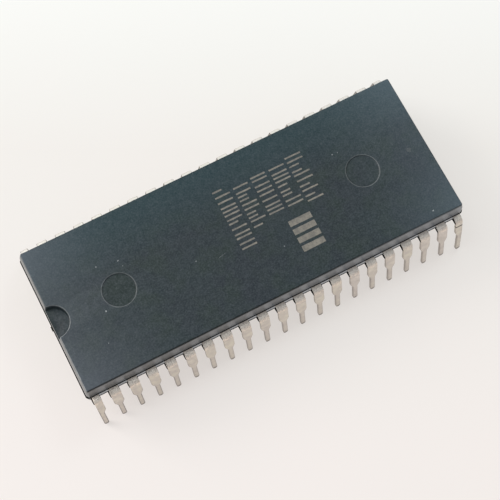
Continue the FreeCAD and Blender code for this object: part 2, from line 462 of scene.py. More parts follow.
def halfLevels(base, face, withNotch):
    # levels of one half of the body, from the parting line at the base to its face
    fullRise = abs(face - base)
    up = copysign(1, face - base)
    rim = mould["rimRadius"]
    levels = []

    def biteAt(rise):
        if withNotch:
            return notch["radius"] - (fullRise - rise) * notchSlope

    def rimInset(slope, turn):
        return (fullRise - rim) * slope + rim * hypot(1, slope) - rim * cos(turn)

    def addStraight(rise, bite, endExtra=0.0, sideExtra=0.0, **marks):
        corner = ramp(rise, 0.0, fullRise, mould["partingCorner"], mould["faceCorner"])
        levels.append(Level(
            base + up * rise, rise * endSlope + endExtra, rise * sideSlope + sideExtra, corner,
            bite, {"wall": 1.0, **marks}))

    for rise, endExtra, sideExtra, grime in mould["partingEdge"]:
        addStraight(rise, None, endExtra, sideExtra, grime=grime)
    if withNotch:
        floorRise = fullRise - notch["depth"]
        addStraight(floorRise - notch["floorStep"], None)
        addStraight(floorRise, None)
        for i in range(notch["filletSteps"] + 1):
            turn = pi / 2 * i / notch["filletSteps"]
            rise = floorRise + notch["floorFillet"] * (1 - cos(turn))
            addStraight(rise, biteAt(rise) - notch["floorFillet"] * (1 - sin(turn)))
    rimStart = fullRise - rim - mould["darkReach"]
    addStraight(rimStart - mould["darkFade"], biteAt(rimStart - mould["darkFade"]))
    addStraight(rimStart, biteAt(rimStart), wall=mould["wallAtRim"], rim=1.0)
    tilt = radians((mould["endDraft"] + mould["sideDraft"]) / 2)
    for i in range(mould["rimSteps"] + 1):
        share = i / mould["rimSteps"]
        turn = tilt + (pi / 2 - tilt) * share
        rise = fullRise - rim + rim * sin(turn)
        corner = max(mould["faceCorner"] - rim * (1 - cos(turn)), mould["leastCorner"])
        bite = None
        if withNotch:
            bite = notch["radius"] - fullRise * notchSlope + rimInset(notchSlope, turn)
        marks = {
            "wall": mould["wallAtRim"] * (1 - share) ** 2,
            "rim": 1 - share ** 2,
            "wear": sin(pi * share),
        }
        insets = rimInset(endSlope, turn), rimInset(sideSlope, turn)
        levels.append(Level(base + up * rise, *insets, corner, bite, marks))
    return levels


def addFace(bm, loop, faceZ, direction):
    # the flat face inside the last loop, with two ejector marks let into it
    edges = loopEdges(bm, loop)
    for end, floorGrain in ejector["floorGrain"].items():
        centreX = end * (halfLength - ejector["inset"])
        rings = []
        for radius, height, wear in ejector["profile"]:
            ring = []
            for k in range(ejector["steps"]):
                angle = 2 * pi * k / ejector["steps"]
                place = (*onCircle(centreX, 0.0, radius, angle), faceZ + direction * height)
                ring.append(addVert(bm, place, wear=wear))
            rings.append(ring)
        edges += loopEdges(bm, rings[0])
        for outer, inner in zip(rings, rings[1:]):
            joinLoops(bm, outer, inner)
        markFloor = bm.faces.new(rings[-1])
        for vert in rings[-1]:
            vert[bm.verts.layers.float["markFloor"]] = floorGrain
        bmesh.ops.inset_region(bm, faces=[markFloor], thickness=ejector["floorInset"])
    bmesh.ops.triangle_fill(bm, use_beauty=True, edges=edges, normal=(0, 0, direction))


def shellStack():
    # all levels of the body, from the underside to the top face
    stack = halfLevels(frameBottom, underside, False)[::-1]
    for rise, endInset, sideInset, grime in mould["band"]:
        marks = {"wall": 1.0, "grime": grime}
        corner = mould["partingCorner"]
        stack.append(Level(frameBottom + rise, endInset, sideInset, corner, None, marks))
    return stack + halfLevels(frameTop, topFace, True)


def addBodyShell(bm):
    stack = shellStack()
    firstBite = next(level for level in stack if level.bite)
    mouthHalf = notchBite(firstBite.endInset - halfLength, firstBite.bite)[0][1]
    notchFloor = topFace - notch["depth"]
    loops = []
    biteBelow = None
    for level in stack:
        outline, inMouth = bodyOutline(level, mouthHalf)
        loop = []
        for k, (x, y) in enumerate(outline):
            if level.bite and not biteBelow and k not in inMouth:
                loop.append(loops[-1][k])
                continue
            # the rim carries wear and a painted highlight at the left end and round the notch,
            # and painted shade elsewhere
            unused = ["wear"]
            if x < level.corner / 2 - (halfLength - level.endInset):
                unused = ["rim"]
            if k in inMouth and level.z > notchFloor - hair:
                unused = ["rim", "wall"]
            marks = {mark: value for mark, value in level.marks.items() if mark not in unused}
            loop.append(addVert(bm, (x, y, level.z), **marks))
        biteBelow = level.bite
        if loops:
            joinLoops(bm, loops[-1], loop)
        loops.append(loop)
    addFace(bm, loops[-1], topFace, 1)
    addFace(bm, loops[0], underside, -1)


def shoulderSides(offset):
    # the outer side of a row's end leads is flush with the leg
    left = right = lead["shoulderWidth"] / 2
    if offset == -lastOffset:
        left = lead["legWidth"] / 2
    if offset == lastOffset:
        right = lead["legWidth"] / 2
    return left, right


def addWebs(bm):
    chance = Random(web["seed"])
    for row in (-1, 1):
        for place in range(lead["leadsPerRow"] - 1):
            offset = place - lastOffset
            start = offset * lead["pitch"] + shoulderSides(offset)[1] - web["overlap"]
            end = (offset + 1) * lead["pitch"] - shoulderSides(offset + 1)[0] + web["overlap"]
            loops = []
            for i in range(web["stations"] + 1):
                x = start + (end - start) * i / web["stations"]
                reach = web["flashReach"] - chance.uniform(0.0, web["edgeLoss"])
                top = frameTop - chance.uniform(*web["topDrop"])
                bottom = frameBottom + web["bottomRise"]
                loop = []
                for atEdge, out, onTop, rise, flash, grime in web["section"]:
                    y = row * (halfWidth + atEdge * reach + out)
                    z = (top if onTop else bottom) + rise
                    loop.append(addVert(bm, (x, y, z), flash=flash, grime=grime))
                loops.append(loop)
            addSweep(bm, loops)


def addFins(bm):
    chance = Random(fins["seed"])
    root = fins["root"]
    rootLow, rootHigh = fins["rootHeights"]
    edgeLow, edgeHigh = fins["edgeHeights"]
    for place in range(lead["leadsPerRow"]):
        stations = leadStations(place - lastOffset, lead["splay"], 0.0)
        for side, width, length in fins["sides"]:
            reach = length * chance.uniform(*fins["lengths"])
            full = width * chance.uniform(*fins["widths"])
            loops = []
            for centre, wide, face, left, right, _, distance in stations:
                if not 0 <= distance <= reach:
                    continue
                edge = right if side > 0 else -left
                narrowing = fins["endLoss"] * (distance / reach) ** fins["narrowing"]
                out = full * (1 - narrowing) * chance.uniform(*fins["raggedness"])
                section = ((root, rootLow), (out, edgeLow), (out, edgeHigh), (root, rootHigh))
                loop = []
                for across, through in section:
                    point = centre + wide * (edge + side * across) + face * through
                    point.y *= fins["row"]
                    # the fins are painted fully dark, as grime and painted shade
                    loop.append(addVert(bm, point, grime=1.0))
                loops.append(loop)
            addSweep(bm, loops)


epoxy = dict(
    base=(0.003, 0.012, 0.014),
    deep=(0.002, 0.007, 0.012),
    green=(0.003, 0.013, 0.008),
    filler=(0.17, 0.187, 0.2),
    far=(0.001, 0.021, 0.026),
    # painted sheen: the top face's ends are painted lighter and bluer, where the lamps would
    # reflect
    rightPaintedSheen=(0.095, 0.13, 0.155),
    leftPaintedSheen=(0.113, 0.121, 0.143),
    # painted reflection: the walls are painted lighter, as if they mirrored the pale floor
    rightWallReflection=(0.092, 0.104, 0.123),
    leftWallReflection=(0.024, 0.03, 0.038),
    notchEndReflection=(0.085, 0.085, 0.08),
    # wear and painted highlight on the rims and the ejector rings
    wornHighlight=(0.42, 0.42, 0.41),
    # painted highlight: the lit top of the flash on the ledges
    flash=(0.93, 0.87, 0.83),
    # grime and painted shade: black, with no reflection
    grime=(0.003, 0.003, 0.003),
    # blotches and grain
    cloud=dict(size=6.0, detail=4.0, start=0.35, end=0.65),
    greenPatch=dict(size=2.2, start=0.45, end=0.65, high=0.8),
    grain=dict(size=0.15, detail=2.0, roughness=0.6, start=0.45, end=0.75, high=0.14),
    mottle=dict(size=0.5, detail=2.0, roughness=0.6, start=0.4, end=0.7, high=0.06),
    markGrain=dict(size=0.26, roughness=0.7, start=0.5, end=0.7, high=0.12),
    wearPatch=dict(size=0.5, detail=4.0, roughness=0.65, start=0.3, end=0.7, low=0.35),
    glint=dict(size=0.18, detail=2.0, roughness=0.6, start=0.3, end=0.7, low=0.8, high=1.2),
    dullness=dict(size=0.8, detail=4.0, start=0.3, end=0.7, low=0.4, high=0.5),
    pits=dict(size=0.09, detail=4.0, roughness=0.6),
    relief=dict(depth=0.012, strength=0.75),
    # where the tints and the painted sheen of the ends lie, and where the near side's rims carry
    # more wear and painted highlight
    farSide=dict(start=1.5, end=6.0),
    leftwards=dict(start=12.0, end=-12.0),
    towardsEnd=dict(start=9.0, end=18.5, high=0.7),
    endCurve=1.6,
    towardsSide=dict(start=2.0, end=7.0, low=0.45),
    onTop=dict(start=topFace - 0.6, end=topFace - 0.05, low=0.2),
    notchEnd=dict(start=-17.9, end=-18.1),
    nearWearAndHighlight=dict(start=3.0, end=-5.0, low=0.3),
    # how far each mark on the mesh shows
    markTint=0.6,
    wearAndHighlightCover=0.9,
    # painted shade on the rims, stronger to the left
    paintedRimShadeStrength=dict(start=0.0, end=0.5, low=0.45, high=0.78),
    cleanAndLit=dict(low=1.0, high=0.0),
    faceSheen=dict(start=topFace - 0.6, end=topFace - 0.05, low=0.29, high=0.42),
    wallSheen=0.85,
    wallCoat=0.7,
    markDullness=0.2,
    wallDullness=-0.06,
    wallPits=dict(low=1.0, high=0.4),
)


def mouldedEpoxy():
    material, shader, place = newMaterial("mouldedEpoxy", IOR=1.55, Coat_Roughness=0.38)
    x, y, z = axesInMm(place)
    wall = readMark(place, "wall")
    markFloor = readMark(place, "markFloor")

    leftwards = remap(x, **epoxy["leftwards"])
    # painted sheen towards both ends of the top face
    paintedEndSheen = blend(leftwards, epoxy["rightPaintedSheen"], epoxy["leftPaintedSheen"])
    towardsEnd = remap(awayFrom(x), **epoxy["towardsEnd"])
    endSheenShare = times(
        maths("POWER", towardsEnd, epoxy["endCurve"]),
        remap(awayFrom(y), **epoxy["towardsSide"]), remap(z, **epoxy["onTop"]))
    # painted reflection of the floor on the walls: lighter on the right, darker to the left,
    # light on the notch end
    paintedWallReflection = layCoats(epoxy["rightWallReflection"], (
        (leftwards, epoxy["leftWallReflection"]),
        (remap(x, **epoxy["notchEnd"]), epoxy["notchEndReflection"]),
    ))

    grain = blotches(place, **epoxy["grain"])
    markGrain = times(blotches(place, **epoxy["markGrain"]), markFloor)
    grain = maths("ADD", grain, blotches(place, **epoxy["mottle"]), markGrain)
    # wear and painted highlight on the rims, more on the near side
    wear = times(
        readMark(place, "wear"), blotches(place, **epoxy["wearPatch"]),
        remap(y, **epoxy["nearWearAndHighlight"]), epoxy["wearAndHighlightCover"])
    # painted shade: a dark line along the rims, stronger towards the left
    paintedRimShade = times(readMark(place, "rim"), remap(leftwards, **epoxy["paintedRimShadeStrength"]))
    # grime and painted shade: the black line at the parting, the dark web edges, the fins and
    # the painted rim shade
    grime = maths("MAXIMUM", readMark(place, "grime"), paintedRimShade)
    colour = layCoats(epoxy["deep"], (
        (blotches(place, **epoxy["cloud"]), epoxy["base"]),
        (blotches(place, **epoxy["greenPatch"]), epoxy["green"]),
        (remap(y, **epoxy["farSide"]), epoxy["far"]),
        (endSheenShare, paintedEndSheen),
        (wall, paintedWallReflection),
        (times(markFloor, epoxy["markTint"]), epoxy["green"]),
        (grain, epoxy["filler"]),
        (wear, epoxy["wornHighlight"]),
        (readMark(place, "flash"), epoxy["flash"]),
        (grime, epoxy["grime"]),
    ))

    # no reflection where grime or painted shade lies
    cleanAndLit = remap(grime, **epoxy["cleanAndLit"])
    wallSheen = times(wall, epoxy["wallSheen"])
    sheen = maths("MAXIMUM", wallSheen, remap(z, **epoxy["faceSheen"]))
    sheen = times(sheen, cleanAndLit, blotches(place, **epoxy["glint"]))
    dullness = maths(
        "ADD", blotches(place, **epoxy["dullness"]), times(markFloor, epoxy["markDullness"]),
        times(wall, epoxy["wallDullness"]))
    setInputs(
        shader, Base_Color=colour, Roughness=dullness, Specular_IOR_Level=sheen,
        Coat_Weight=times(wall, cleanAndLit, epoxy["wallCoat"]))
    pits = times(noise(place, **epoxy["pits"]), remap(wall, **epoxy["wallPits"]))
    bump(shader, pits, **epoxy["relief"])
    return material


def buildBody():
    bm = newMesh("wear", "rim", "grime", "markFloor", "flash", "wall")
    addBodyShell(bm)
    addWebs(bm)
    addFins(bm)
    piece = finishPiece("mouldedBody", bm, mouldedEpoxy())
    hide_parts("body")
    print("body moulded:", len(piece.data.polygons), "faces")


# the leads

def fingerPath(offset):
    # plan of the inner finger from the wall to its tip, in a row whose wall is at +Y
    paddleEnd = dieHigh.x + lead["paddleEndMargin"]
    paddleSide = paddleHigh.y
    x = offset * lead["pitch"]
    start = (x, halfWidth - lead["anchorDepth"])
    knee = (x, halfWidth - lead["fingerKneeDepth"])
    if abs(offset) <= (lead["sideFingers"] - 1) / 2:
        tipX = offset * 2 * paddleEnd / lead["sideFingers"]
        tip = (tipX, paddleSide + lead["fingerGap"])
    else:
        barSide = (lead["tieBarWidth"] + lead["fingerTipWidth"]) / 2
        first = barSide + lead["tieBarGap"]
        steps = (lead["leadsPerRow"] - lead["sideFingers"]) // 2 - 1
        tipX = copysign(paddleEnd + lead["fingerGap"], offset)
        tip = (tipX, first + (lastOffset - abs(offset)) * (paddleSide - first) / steps)
    return [start, knee, tip]


def leadSection(left, right, thickness):
    # rounded rectangle seen along the lead: across the width, then through the thickness
    half = thickness / 2
    faceRadius = min(lead["faceEdgeRadius"], half * lead["edgeRoom"])
    backRadius = lead["backEdgeRadius"]
    steps = lead["edgeSteps"]
    edge = lead["edgeWidth"]
    faceUp = half - faceRadius
    backDown = -half + backRadius
    points = quarterArc(right - faceRadius, faceUp, faceRadius, 0, steps)
    points += [(right - edge, half), (-left + edge, half)]
    points += quarterArc(-left + faceRadius, faceUp, faceRadius, pi / 2, steps)
    points += quarterArc(-left + backRadius, backDown, backRadius, pi, steps)
    points += quarterArc(right - backRadius, backDown, backRadius, 3 * pi / 2, steps)
    return points


def leadStations(offset, splay, lean):
    # places along the lead: centre, width direction, face direction, left, right, thickness,
    # and distance from the wall
    sheet = lead["thickness"]
    middle = frameTop - sheet / 2
    stub = lead["stubLength"]
    x = offset * lead["pitch"]
    left, right = shoulderSides(offset)
    wide = Vector((1, 0, 0))
    up = Vector((0, 0, 1))

    start, knee, tip = [Vector((px, py, middle)) for px, py in fingerPath(offset)]
    toKnee = (knee - tip).normalized()
    across = Vector((toKnee.y, -toKnee.x, 0))
    mitre = (across + wide).normalized()
    innerHalf = lead["fingerTipWidth"] / 2
    outerHalf = lead["fingerWidth"] / 2
    inResin = -1.0  # stands for the distance of all that lies inside the resin
    stations = [
        (tip, across, up, innerHalf, innerHalf, sheet, inResin),
        (knee, mitre / mitre.x, up, outerHalf, outerHalf, sheet, inResin),
        (start, wide, up, outerHalf, outerHalf, sheet, inResin),
    ]
    for out in (-lead["anchorDepth"] + hair, lead["wallRing"], 0.0, stub / 2):
        centre = Vector((x, halfWidth + out, middle))
        stations.append((centre, wide, up, left, right, sheet, out))

    outerRadius = lead["bendInnerRadius"] + sheet
    middleRadius = lead["bendInnerRadius"] + sheet / 2
    pivot = Vector((x, halfWidth + stub, frameTop - outerRadius))
    fullTurn = radians(90 - splay)
    for i in range(lead["bendSteps"] + 1):
        turn = fullTurn * i / lead["bendSteps"]
        face = Vector((0, sin(turn), cos(turn)))
        centre = pivot + face * middleRadius
        stations.append((centre, wide, face, left, right, sheet, stub + outerRadius * turn))

    # the leg goes straight down from the last station of the bend
    bendEnd = centre
    bendDistance = stub + outerRadius * fullTurn
    down = Vector((0, cos(fullTurn), -sin(fullTurn)))
    nominalTurn = radians(90 - lead["splay"])
    legLength = (pivot.z + lead["bendInnerRadius"] * cos(nominalTurn)) / sin(nominalTurn)
    legHalf = lead["legWidth"] / 2
    narrowing = (lead["legWidth"] - lead["tipWidth"]) / 2
    roundness = lead["tipRoundness"]

    def distanceAt(z):
        return (bendEnd.z - z) / sin(fullTurn)

    shoulderZ = frameTop - lead["shoulderDrop"]
    taperZ = frameTop - lead["taperDrop"]
    tipStart = distanceAt(lead["tipBevel"])
    shoulderEnd = distanceAt(shoulderZ)
    taperLength = distanceAt(taperZ) - shoulderEnd
    distances = [legLength * share for share in lead["legRings"]]
    distances += [shoulderEnd + taperLength * share for share in lead["taperRings"]]
    distances += [tipStart - above for above in lead["endRings"]]
    distances += [tipStart + (legLength - tipStart) * share for share in lead["tipRings"]]
    for distance in distances:
        centre = bendEnd + down * distance
        fall = ramp(centre.z, shoulderZ, taperZ)
        smoothFall = 3 * fall ** 2 - 2 * fall ** 3
        ease = fall + (smoothFall - fall) * lead["taperEase"]
        toTip = ramp(distance, tipStart, legLength)
        narrow = narrowing * (1 - sqrt(1 - roundness * toTip ** 2)) / (1 - sqrt(1 - roundness))
        thin = ramp(toTip, lead["tipThinning"], 1.0, sheet, lead["tipThickness"])
        centre.x += lean * max(shoulderZ - centre.z, 0.0) / shoulderZ
        stations.append((
            centre, wide, face, left + (legHalf - left) * ease - narrow,
            right + (legHalf - right) * ease - narrow, thin, bendDistance + distance))
    return stations


# how the leads differ; places along a row count from its middle, negative towards the notch
finish = dict(
    sideTouch=0.016,  # points this close to a lead's side are on its cut edge
    pinkness=dict(start=6.0, end=-6.0, low=1.0, high=0.4),
    edgeTone=dict(start=-5.0, end=-8.0, low=0.4),
    sideShade=0.35,  # the cut sides past the trimmed dam bars, dark as cut edge and painted shade
    edgeShade=0.75,  # painted shade on the strip along both edges of a leg's face
    nearEdges=dict(start=1.6, end=2.8),  # where that strip comes in on the near row
    farEdges=0.8,
    soil=dict(start=6.0, end=-6.0, low=0.65),
    soilAndShadeRow=-1,
    scuffedLead=21,
)


def buildLead(number, row, offset, material):
    chance = Random(number)
    bm = newMesh("fromWall", "cutEdgeAndShade", "legEdgeShade", "variety", "soilAndShade", "scuffed")
    edgeTone = ramp(offset, **finish["edgeTone"])
    marks = {
        "variety": chance.uniform(0, 1) * ramp(offset, **finish["pinkness"]),
        "soilAndShade": ramp(offset, **finish["soil"]) if row == finish["soilAndShadeRow"] else 0.0,
        "scuffed": 1.0 if number == finish["scuffedLead"] else 0.0,
    }
    extraSplay, lean = lead["bent"].get(number, (0.0, 0.0))
    loops = []
    for centre, wide, face, left, right, thickness, distance in leadStations(
            offset, lead["splay"] + extraSplay, lean):
        if lead["trimStart"] <= distance <= lead["trimEnd"]:
            left += chance.uniform(*lead["burrRange"]) * lead["trimBurr"]
            right += chance.uniform(*lead["burrRange"]) * lead["trimBurr"]
        sideShade = 1.0
        if distance > lead["trimEnd"]:
            sideShade = finish["sideShade"] * edgeTone
        onLeg = finish["farEdges"]
        if row < 0:
            onLeg = ramp(distance, **finish["nearEdges"])
        marks["fromWall"] = distance
        loop = []
        for across, through in leadSection(left, right, thickness):
            toSide = min(right - across, left + across)
            onSide = toSide < finish["sideTouch"]
            onEdge = toSide < lead["edgeWidth"] - hair
            marks["cutEdgeAndShade"] = sideShade if onSide else 0.0
            marks["legEdgeShade"] = finish["edgeShade"] * edgeTone * onLeg if onEdge else 0.0
            place = centre + wide * across + face * through
            place.y *= row
            loop.append(addVert(bm, place, **marks))
        loops.append(loop)
    addSweep(bm, loops)
    piece = finishPiece("stampedLead_%02d" % number, bm, material)
    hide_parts("lead_%02d" % number)


tin = dict(
    yellow=(0.805, 0.75, 0.635),
    pink=(0.805, 0.74, 0.69),
    dull=(0.67, 0.61, 0.56),
    # dark cut edges with their painted shade, and the scuff
    cut=(0.02, 0.017, 0.015),
    tip=(0.1, 0.09, 0.09),
    # painted light: the far row's tin is painted lighter
    cleanAndLit=(0.95, 0.93, 0.88),
    shoulder=(1.0, 0.87, 0.75),
    bend=(1.0, 0.875, 0.755),
    speckle=(0.71, 0.6, 0.52),
    # painted shade of the leg edges; the line at the bend has this colour too
    edge=(0.3, 0.275, 0.265),
    # painted shade: black where the lead leaves the wall
    gap=(0.006, 0.006, 0.006),
    blotch=dict(size=0.7, detail=4.0, roughness=0.6, start=0.35, end=0.68),
    speckles=dict(size=0.11, roughness=0.65, start=0.45, end=0.62),
    ragged=dict(size=0.12, roughness=0.6, start=0.35, end=0.6, low=0.4),
    waver=dict(size=0.5, detail=2.0, start=0.3, end=0.7, low=-0.12, high=0.12),
    dullness=dict(size=0.25, start=0.3, end=0.7, low=0.5, high=0.65),
    rollLines=dict(size=0.035, roughness=0.6),
    lineStretch=(1.0, 0.22, 0.22),
    relief=dict(depth=0.004, strength=0.3),
    # along the lead, in distance from the wall
    paintedShadeAtWall=dict(start=0.035, end=0.015),
    ontoBend=dict(start=0.3, end=0.6),
    soilEnd=dict(start=0.92, end=0.72),
    bendLine=dict(start=0.72, end=0.8, high=0.6),
    lowerLeg=dict(start=2.6, end=3.1, high=0.35),
    towardsTip=dict(start=5.0, end=5.3, high=0.75),
    scuffPlace=1.35,
    scuff=dict(start=0.09, end=0.054, high=0.85),
    # from how soiled and shaded a lead is; the far row has none and is painted lighter
    cleanAndLitRow=dict(start=0.6, end=0.0, high=0.5),
    lineRow=dict(start=0.3, end=0.0),
)


def tinPlating():
    material, shader, place = newMaterial("tinPlating", Metallic=1.0)
    distance = readMark(place, "fromWall")
    soilAndShade = readMark(place, "soilAndShade")
    plating = blend(readMark(place, "variety"), tin["yellow"], tin["pink"])
    soil = layCoats(tin["shoulder"], (
        (remap(distance, **tin["ontoBend"]), tin["bend"]),
        (blotches(place, **tin["speckles"]), tin["speckle"]),
    ))
    wavering = maths("ADD", distance, blotches(place, **tin["waver"]))
    nearWall = times(remap(wavering, **tin["soilEnd"]), soilAndShade)
    bendLine = times(remap(distance, **tin["bendLine"]), remap(soilAndShade, **tin["lineRow"]))
    scuff = remap(awayFrom(distance, tin["scuffPlace"]), **tin["scuff"])
    ragged = blotches(place, **tin["ragged"])
    colour = layCoats(tin["dull"], (
        (blotches(place, **tin["blotch"]), plating),
        # painted light on the far row
        (remap(soilAndShade, **tin["cleanAndLitRow"]), tin["cleanAndLit"]),
        (nearWall, soil),
        # painted shade where the lead leaves the wall
        (remap(distance, **tin["paintedShadeAtWall"]), tin["gap"]),
        (bendLine, tin["edge"]),
        (remap(distance, **tin["lowerLeg"]), tin["dull"]),
        # painted shade along the leg edges
        (readMark(place, "legEdgeShade"), tin["edge"]),
        (remap(distance, **tin["towardsTip"]), tin["tip"]),
        (times(scuff, readMark(place, "scuffed")), tin["cut"]),
        # cut sides: dark cut edges and painted shade
        (times(readMark(place, "cutEdgeAndShade"), ragged), tin["cut"]),
    ))
    dullness = blotches(place, **tin["dullness"])
    setInputs(shader, Base_Color=colour, Roughness=dullness)
    lines = noise(stretch(place, tin["lineStretch"]), **tin["rollLines"])
    bump(shader, lines, **tin["relief"])
    return material


def buildLeads():
    material = tinPlating()
    count = lead["leadsPerRow"]
    for place in range(count):
        for row, number in ((-1, place + 1), (1, 2 * count - place)):
            buildLead(number, row, place - lastOffset, material)
    print("leads stamped and formed:", 2 * count)


# print, dust and a scratch on the top face

printing = dict(
    seed=21,
    film=0.008,
    stroke=0.15,
    raggedness=0.012,
    tickSteps=5,
    # each row of ticks: near and far X, first and last Y
    rows=[
        (-0.875, 0.56, -1.69, 4.125), (0.94, 2.35, -0.375, 4.19), (2.69, 4.125, 0.06, 4.19),
        (4.5, 5.98, 0.0, 4.25), (6.25, 7.78, -0.375, 4.25),
    ],
    heights=(1.0, 1.0, 0.62),  # shares of the row's height that a tick may have
    spacings=(2.5, 3.0, 3.7),  # from one tick to the next, in strokes
    # a plain block of bars beside the rows: near and far X, near and far Y
    block=(3.8, 5.94, -4.25, -1.19),
    bars=4,
    barGap=0.28,
)

dust = dict(
    seed=4,
    film=0.009,
    corners=9,
    unevenness=(0.6, 1.1),
    # X, Y, half width and whiteness of each speck
    specks=[
        (-13.69, -1.19, 0.085, 1.0), (-12.78, 2.75, 0.09, 0.4), (-10.85, 2.38, 0.08, 0.5),
        (-10.69, 1.79, 0.07, 0.25), (-14.69, -3.81, 0.06, 0.5), (-4.9, -0.73, 0.08, 0.4),
        (2.5, -3.0, 0.07, 0.5), (15.56, -6.06, 0.08, 0.9), (16.5, -0.13, 0.25, 0.12),
        (10.2, 2.55, 0.07, 0.5), (10.7, 2.5, 0.05, 0.5),
    ],
)

scratch = dict(
    start=(-3.1, -1.39),
    end=(-2.25, -1.2),
    width=0.03,
    film=0.0036,
    steps=10,
    wander=0.012,
    blunt=0.04,  # its points stop this share of its length short of sharp
    whiteness=0.4,
)

fadedPrint = dict(
    ink=(0.27, 0.235, 0.19),
    thin=(0.15, 0.135, 0.115),
    gone=(0.045, 0.05, 0.05),
    patch=dict(size=0.4, detail=4.0, roughness=0.65, start=0.35, end=0.65),
    rubbed=dict(size=0.07, roughness=0.6, start=0.6, end=0.72, high=0.7),
    grain=dict(size=0.09),
    relief=dict(depth=0.006, strength=0.6),
)

dustLook = dict(
    light=(0.5, 0.51, 0.5),
    dark=(0.28, 0.29, 0.29),
    moulding=(0.03, 0.04, 0.045),
    patch=dict(size=0.06, detail=2.0, start=0.4, end=0.62),
)


def addFilm(bm, outline, film, **marks):
    # a flat patch with its edge down to the moulding
    loops = []
    for z in (topFace - hair, topFace + film):
        loops.append([addVert(bm, (x, y, z), **marks) for x, y in outline])
    joinLoops(bm, *loops)
    bm.faces.new(loops[1])


def inkTick(bm, lowX, highX, y, width, chance):
    # a plain upright bar with slightly uneven sides
    ragged = printing["raggedness"]
    right = []
    left = []
    for i in range(printing["tickSteps"] + 1):
        x = lowX + (highX - lowX) * i / printing["tickSteps"]
        right.append((x, y - width / 2 + chance.uniform(-ragged, ragged)))
        left.append((x, y + width / 2 + chance.uniform(-ragged, ragged)))
    addFilm(bm, right + left[::-1], printing["film"])


def fadedInk():
    material, shader, place = newMaterial("fadedInk", Roughness=0.6)
    colour = layCoats(fadedPrint["thin"], (
        (blotches(place, **fadedPrint["patch"]), fadedPrint["ink"]),
        (blotches(place, **fadedPrint["rubbed"]), fadedPrint["gone"]),
    ))
    setInputs(shader, Base_Color=colour)
    bump(shader, noise(place, **fadedPrint["grain"]), **fadedPrint["relief"])
    return material


def buildPrint():
    chance = Random(printing["seed"])
    bm = newMesh()
    stroke = printing["stroke"]
    for lowX, highX, firstY, lastY in printing["rows"]:
        y = firstY + stroke / 2
        while y < lastY:
            height = chance.choice(printing["heights"])
            inkTick(bm, lowX, lowX + (highX - lowX) * height, y, stroke, chance)
            y += stroke * chance.choice(printing["spacings"])
    lowX, highX, lowY, highY = printing["block"]
    pitch = (highY - lowY + printing["barGap"]) / printing["bars"]
    width = pitch - printing["barGap"]
    for k in range(printing["bars"]):
        inkTick(bm, lowX, highX, lowY + pitch * k + width / 2, width, chance)
    piece = finishPiece("topPrint", bm, fadedInk(), weightNormals=False)
    print("top face printed with plain marks")


def paleDust():
    material, shader, place = newMaterial("paleDust", Roughness=0.8)
    patch = blotches(place, **dustLook["patch"])
    colour = blend(patch, dustLook["dark"], dustLook["light"])
    whiteness = readMark(place, "whiteness")
    colour = blend(whiteness, dustLook["moulding"], colour)
    setInputs(shader, Base_Color=colour)
    return material


def addScratch(bm, chance):
    (startX, startY), (endX, endY) = scratch["start"], scratch["end"]
    upper = []
    lower = []
    for i in range(scratch["steps"] + 1):
        share = i / scratch["steps"]
        alongBlunt = min(max(share, scratch["blunt"]), 1 - scratch["blunt"])
        half = scratch["width"] / 2 * sin(pi * alongBlunt)
        x = startX + (endX - startX) * share
        y = startY + (endY - startY) * share
        y += chance.uniform(-scratch["wander"], scratch["wander"])
        lower.append((x, y - half))
        upper.append((x, y + half))
    addFilm(bm, lower + upper[::-1], scratch["film"], whiteness=scratch["whiteness"])


def buildDust():
    chance = Random(dust["seed"])
    bm = newMesh("whiteness")
    for x, y, size, whiteness in dust["specks"]:
        outline = []
        for k in range(dust["corners"]):
            angle = 2 * pi * k / dust["corners"]
            radius = size * chance.uniform(*dust["unevenness"])
            outline.append(onCircle(x, y, radius, angle))
        addFilm(bm, outline, dust["film"], whiteness=whiteness)
    addScratch(bm, chance)
    piece = finishPiece("dustSpecks", bm, paleDust(), weightNormals=False)
    print("dust and a scratch laid on the top face")


# what the resin hides

alloy = dict(
    dark=(0.55, 0.31, 0.2),
    light=(0.74, 0.46, 0.33),
    cut=(0.02, 0.018, 0.015),
    patch=dict(size=0.9, detail=4.0, start=0.35, end=0.65),
    cutEnd=dict(start=18.0, end=18.1),  # distance of the bars' cut ends from the middle
    rollLines=dict(size=0.05),
    lineStretch=(0.08, 1.0, 1.0),
    relief=dict(depth=0.003, strength=0.6),
)

glue = dict(
    dark=(0.32, 0.32, 0.33),
    light=(0.66, 0.66, 0.67),
    flakes=dict(size=0.05, detail=2.0, roughness=0.7, start=0.4, end=0.6),
    relief=dict(depth=0.004, strength=0.5),
)

# blocks of memory cells in fine rows
silicon = dict(
    block=(0.09, 0.13, 0.2),
    otherBlock=(0.14, 0.1, 0.17),
    between=(0.3, 0.33, 0.3),
    row=(0.2, 0.26, 0.3),
    blockWidth=1.1,
    blockHeight=0.72,
    gap=0.04,
    rowsPerMm=6,
    rowShade=0.3,
    relief=dict(depth=0.001, strength=0.4),
)

gold = dict(
    dark=(0.8, 0.55, 0.2),
    light=(0.9, 0.68, 0.32),
    patch=dict(size=0.2, detail=2.0, start=0.35, end=0.65),
    drawing=dict(size=0.02, detail=2.0),
    relief=dict(depth=0.001, strength=0.4),
)


def frameAlloy():
    material, shader, place = newMaterial("frameAlloy", Metallic=1.0, Roughness=0.35)
    x = axesInMm(place)[0]
    colour = layCoats(alloy["dark"], (
        (blotches(place, **alloy["patch"]), alloy["light"]),
        (remap(awayFrom(x), **alloy["cutEnd"]), alloy["cut"]),
    ))
    setInputs(shader, Base_Color=colour)
    lines = noise(stretch(place, alloy["lineStretch"]), **alloy["rollLines"])
    bump(shader, lines, **alloy["relief"])
    return material


